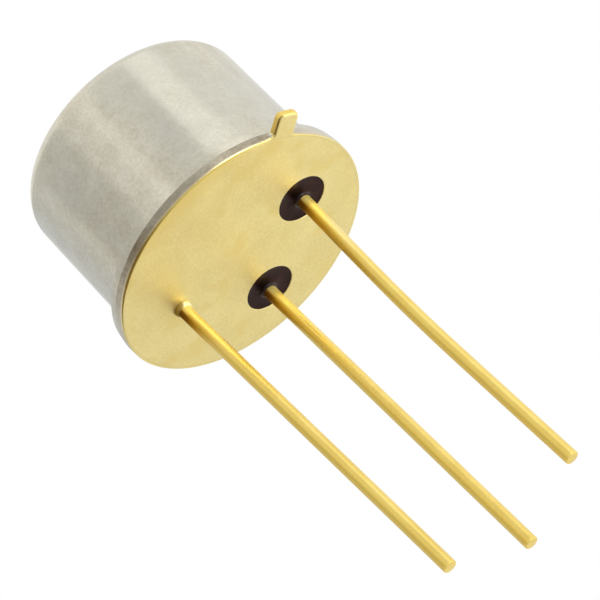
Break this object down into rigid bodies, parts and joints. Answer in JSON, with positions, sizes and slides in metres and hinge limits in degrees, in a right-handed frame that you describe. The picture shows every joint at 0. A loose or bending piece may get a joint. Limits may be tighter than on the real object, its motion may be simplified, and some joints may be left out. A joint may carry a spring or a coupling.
{
  "type": "metal can mosfet",
  "caption": "Power transistor in a round metal can with a gold-plated header, a locating tab and long solder leads.",
  "frame": {"origin": "centre of the header's underside, on the seating plane", "axes": "+Z along the can's axis towards its closed top; the source lead is on +X, the gate lead on +Y, the drain lead on -X, and the leads hang below Z = 0"},
  "size_m": [0.0092, 0.0092, 0.0191],
  "materials": {
    "nickel": "satin nickel plate on drawn steel",
    "gold": "fine matte gold plate on iron-nickel-cobalt alloy",
    "lead_gold": "smooth gold plate on drawn wire",
    "weld_gold": "bright fused metal under gold plate",
    "seal_glass": "dark brown fused glass, glossy",
    "attach_alloy": "solidified gold-silicon alloy",
    "silicon": "polished dark grey silicon",
    "bond_aluminium": "bright evaporated or drawn aluminium"
  },
  "bodies": {
    "root": {"cap": "nickel", "header": "gold", "source_seal": "seal_glass", "gate_seal": "seal_glass", "source_lead": "lead_gold", "gate_lead": "lead_gold", "drain_lead": "lead_gold", "drain_weld": "weld_gold", "die_attach": "attach_alloy", "die": "silicon", "source_pad": "bond_aluminium", "gate_pad": "bond_aluminium", "source_wire": "bond_aluminium", "gate_wire": "bond_aluminium"}
  },
  "joints": []
}
